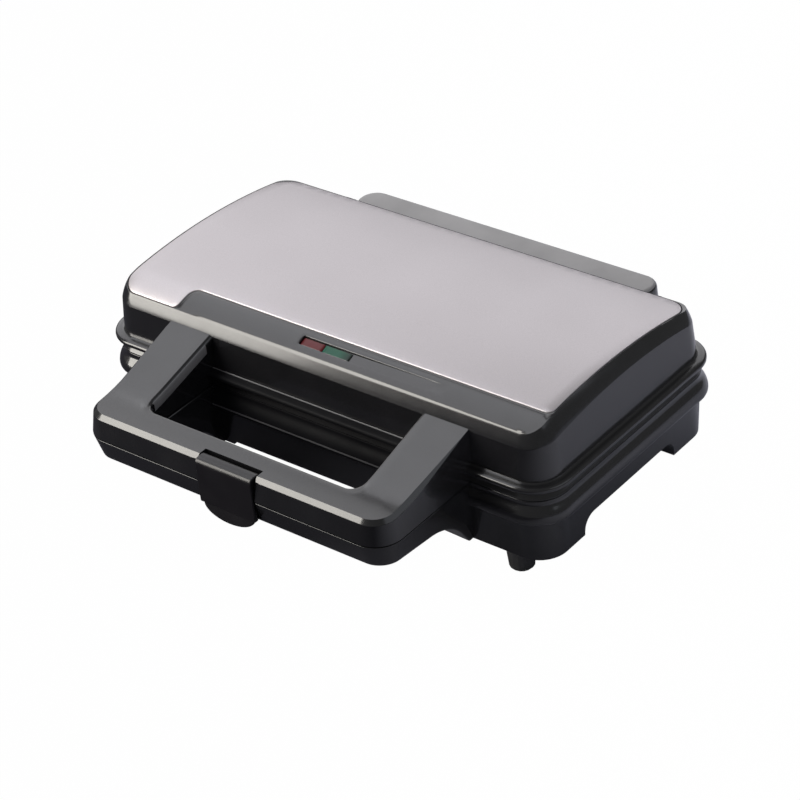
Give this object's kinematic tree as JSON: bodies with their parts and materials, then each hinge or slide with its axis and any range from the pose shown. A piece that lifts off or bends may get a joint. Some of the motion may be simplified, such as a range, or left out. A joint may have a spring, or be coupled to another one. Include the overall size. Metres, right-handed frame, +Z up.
{
  "type": "sandwich toaster",
  "caption": "Flat hinged table-top toaster for closed sandwiches, with a loop handle, a latch clip, a sheet panel on the lid and diagonal pockets in its plates.",
  "frame": {"origin": "middle of the footprint, on the table under the feet", "axes": "+X to the object's right seen from its front, +Y from the handle to the hinge, +Z up"},
  "size_m": [0.2678, 0.2254, 0.0846],
  "materials": {
    "black_plastic": "satin gloss moulding",
    "matte_black_plastic": "fine grained moulding",
    "silver_panel": "silver lacquer, satin",
    "red_lens": "clear red",
    "green_lens": "clear green",
    "coated_plate": "dark non-stick coating",
    "heater_steel": "oxidised",
    "shield_steel": "pressed sheet",
    "bright_steel": "plated",
    "pale_ceramic": "unglazed",
    "black_rubber": "matte",
    "lamp_glass": "clear"
  },
  "bodies": {
    "base": {"base_housing": "black_plastic", "bottom_cover": "matte_black_plastic", "lower_handle_cover": "matte_black_plastic", "lower_cooking_plate": "coated_plate", "lower_heating_element": "heater_steel", "lower_heat_shield": "shield_steel", "thermostat": "bright_steel", "hinge_pin_left": "bright_steel", "hinge_pin_right": "bright_steel", "lower_plate_screw_front": "bright_steel", "lower_plate_screw_rear": "bright_steel", "lower_shield_screw_front": "bright_steel", "lower_shield_screw_rear": "bright_steel", "lower_handle_screw_left": "bright_steel", "lower_handle_screw_right": "bright_steel", "cover_screw_1": "bright_steel", "cover_screw_2": "bright_steel", "cover_screw_3": "bright_steel", "cover_screw_4": "bright_steel", "thermal_fuse": "pale_ceramic", "terminal_block": "pale_ceramic", "cord_gland": "black_rubber", "front_left_foot": "black_rubber", "front_right_foot": "black_rubber", "rear_left_foot": "black_rubber", "rear_right_foot": "black_rubber"},
    "lid": {"lid_housing": "black_plastic", "top_panel": "silver_panel", "upper_cooking_plate": "coated_plate", "upper_heating_element": "heater_steel", "upper_heat_shield": "shield_steel", "upper_handle_cover": "matte_black_plastic", "red_lens": "red_lens", "green_lens": "green_lens", "red_lamp": "lamp_glass", "green_lamp": "lamp_glass", "lamp_board": "matte_black_plastic", "latch_pin": "bright_steel", "upper_plate_screw_front": "bright_steel", "upper_plate_screw_rear": "bright_steel", "upper_shield_screw_front": "bright_steel", "upper_shield_screw_rear": "bright_steel", "upper_handle_screw_left": "bright_steel", "upper_handle_screw_right": "bright_steel"},
    "latch": {"latch_clip": "black_plastic"}
  },
  "joints": [
    {"name": "lid_hinge", "type": "hinge", "parent": "base", "child": "lid", "pos_m": [0, 0.09326, 0.062], "axis": [-1, 0, 0], "range_deg": [0, 95]},
    {"name": "latch_hinge", "type": "hinge", "parent": "lid", "child": "latch", "pos_m": [0, -0.10754, 0.055], "axis": [-1, 0, 0], "range_deg": [0, 65]}
  ]
}
